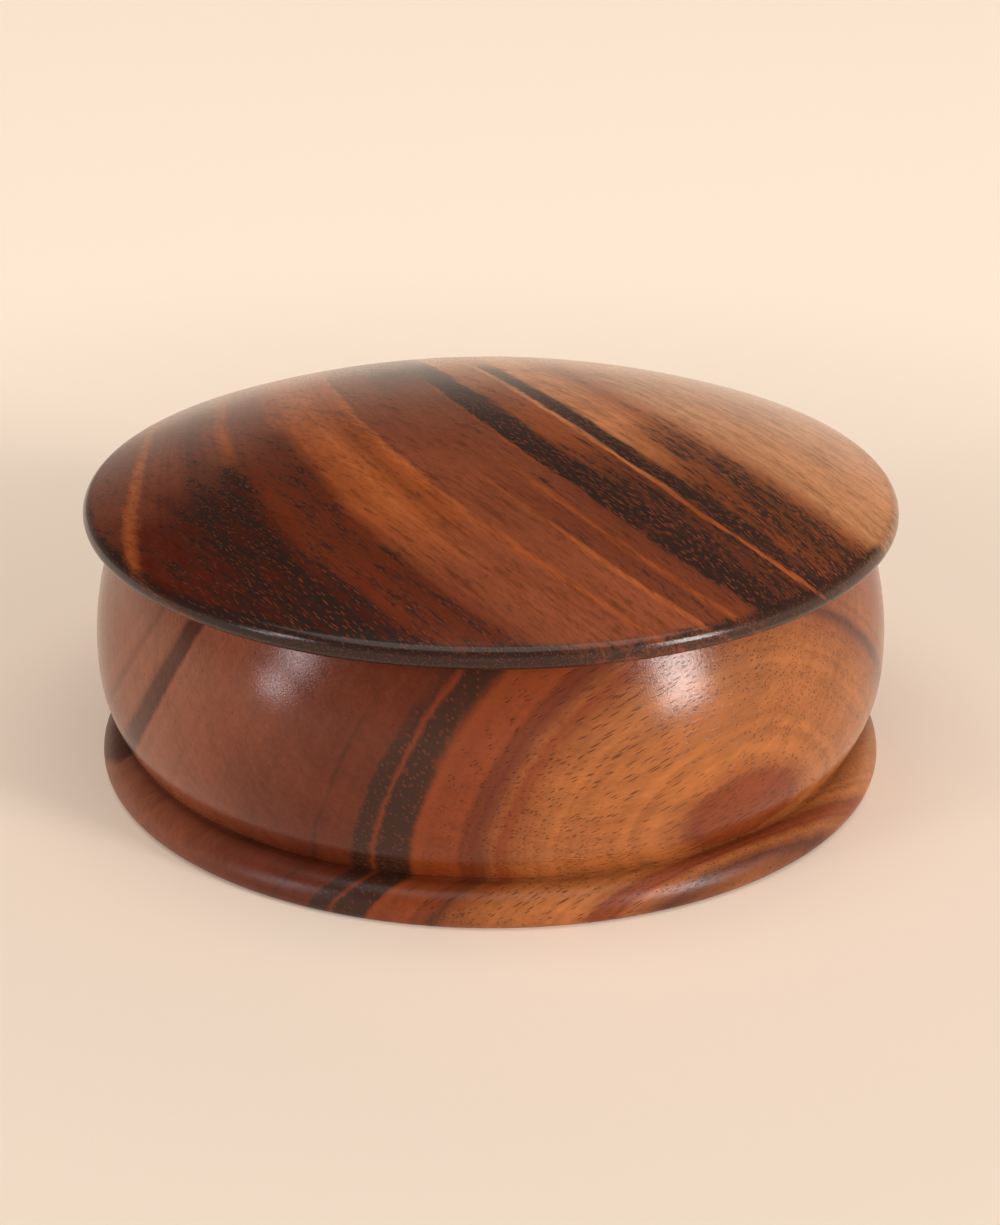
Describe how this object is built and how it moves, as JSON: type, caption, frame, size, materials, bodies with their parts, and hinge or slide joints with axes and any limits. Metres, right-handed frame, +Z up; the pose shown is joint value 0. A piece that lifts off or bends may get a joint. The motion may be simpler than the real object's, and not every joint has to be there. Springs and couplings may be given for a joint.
{
  "type": "shaving mug",
  "caption": "Turned wooden shaving bowl with a flanged foot, a domed lift-off lid on a spigot, and a cake of soap inside.",
  "frame": {"origin": "centre of the foot on the surface the bowl stands on", "axes": "+Z up along the axis the bowl is turned about, -Y towards the viewer, +X to the right"},
  "size_m": [0.13, 0.13, 0.0581],
  "materials": {
    "bowl_wood": "satin lacquer over red-brown figured hardwood",
    "lid_wood": "satin lacquer over red-brown figured hardwood with near-black streaks",
    "soap": "pressed hard soap, smooth and slightly waxy"
  },
  "bodies": {
    "bowl_body": {"bowl": "bowl_wood", "soap_puck": "soap"},
    "lid_body": {"lid": "lid_wood"}
  },
  "joints": [
    {"name": "lid_lift", "type": "slide", "parent": "bowl_body", "child": "lid_body", "axis": [0, 0, 1], "range_m": [0, 0.1]}
  ]
}
